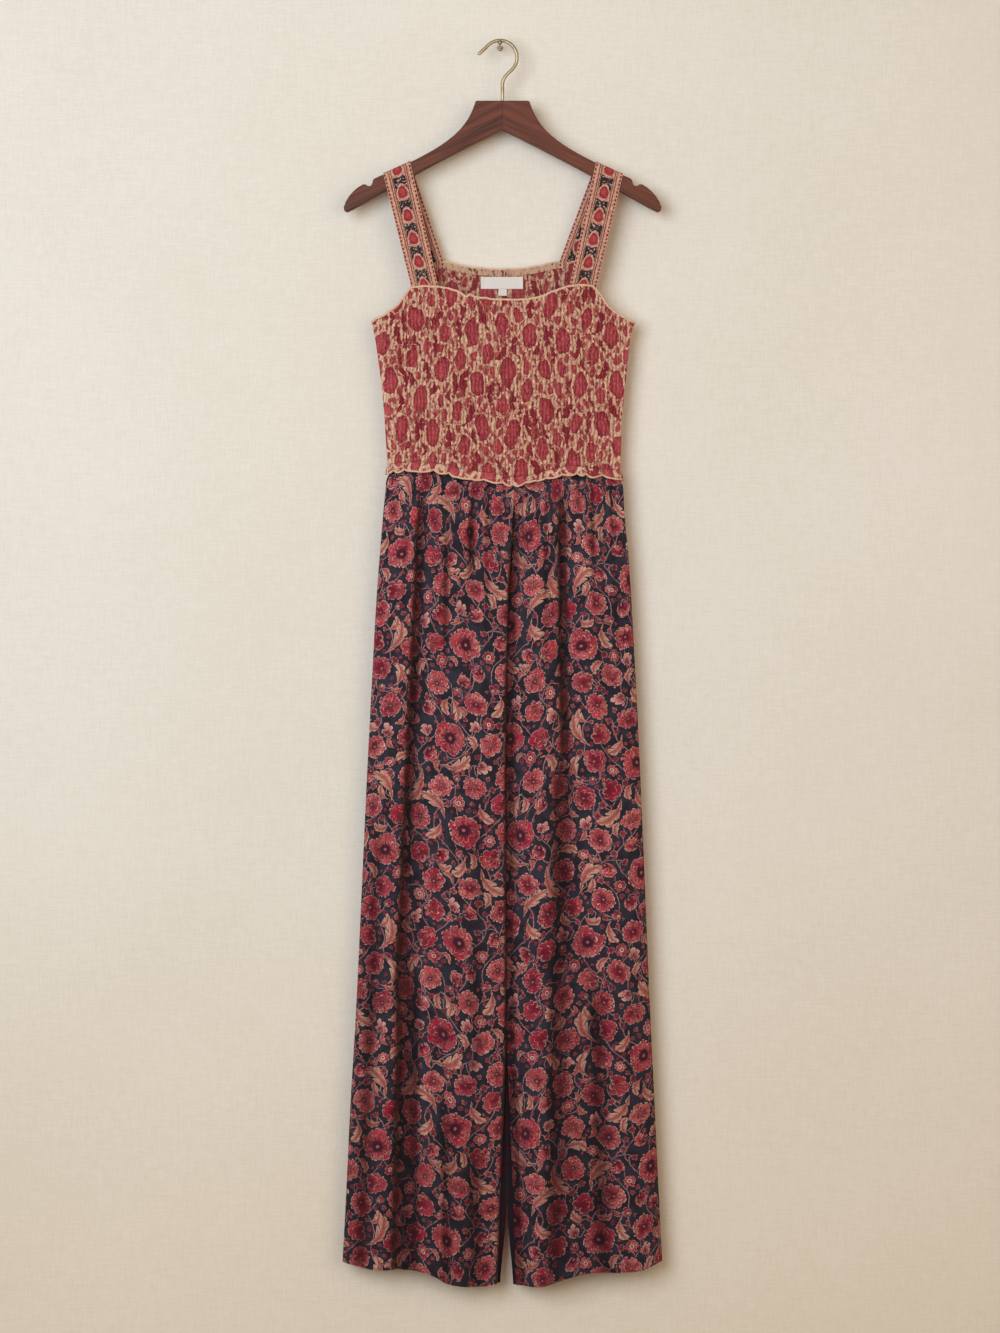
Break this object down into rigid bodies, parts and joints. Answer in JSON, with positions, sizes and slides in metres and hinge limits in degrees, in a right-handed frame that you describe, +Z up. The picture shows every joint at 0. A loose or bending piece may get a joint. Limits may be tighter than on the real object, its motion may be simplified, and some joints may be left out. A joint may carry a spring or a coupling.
{
  "type": "jumpsuit on a hanger",
  "caption": "Wide-leg jumpsuit with a smocked bodice and wide shoulder straps, hung flat by its straps from a notched wooden hanger on a wall pin.",
  "frame": {"origin": "underside of the hook's wire at the top of its bend, where it hangs on the wall pin", "axes": "+Z up, +X towards the wearer's left, +Y towards the wall; the garment's front faces -Y"},
  "size_m": [0.4156, 0.0526, 1.6195],
  "materials": {
    "pin_brass": "aged brass, softly polished",
    "hook_brass": "aged brass wire, softly polished",
    "walnut": "stained and waxed walnut, mitred at the centre",
    "strap_cotton": "matte woven cotton band, with border stripes with red ovals on a dark blue centre band",
    "bodice_cotton": "matte shirred cotton, with small flowers, leaves and ovals in reds on a tan ground",
    "frill_cotton": "matte cotton with a rolled edge, with small red dots on a tan ground",
    "trouser_cotton": "matte printed cotton, with flowers, leaves and vines in reds and tan on a dark blue ground",
    "label_satin": "white woven satin, bare"
  },
  "bodies": {
    "root": {"wall_pin": "pin_brass", "hanger_hook": "hook_brass", "hanger_body": "walnut", "strap_left": "strap_cotton", "strap_right": "strap_cotton", "bodice_front": "bodice_cotton", "bodice_back": "bodice_cotton", "frill_front": "frill_cotton", "frill_back": "frill_cotton", "trouser_front_left": "trouser_cotton", "trouser_front_right": "trouser_cotton", "trouser_back_left": "trouser_cotton", "trouser_back_right": "trouser_cotton", "label": "label_satin", "size_tab": "label_satin"}
  },
  "joints": []
}
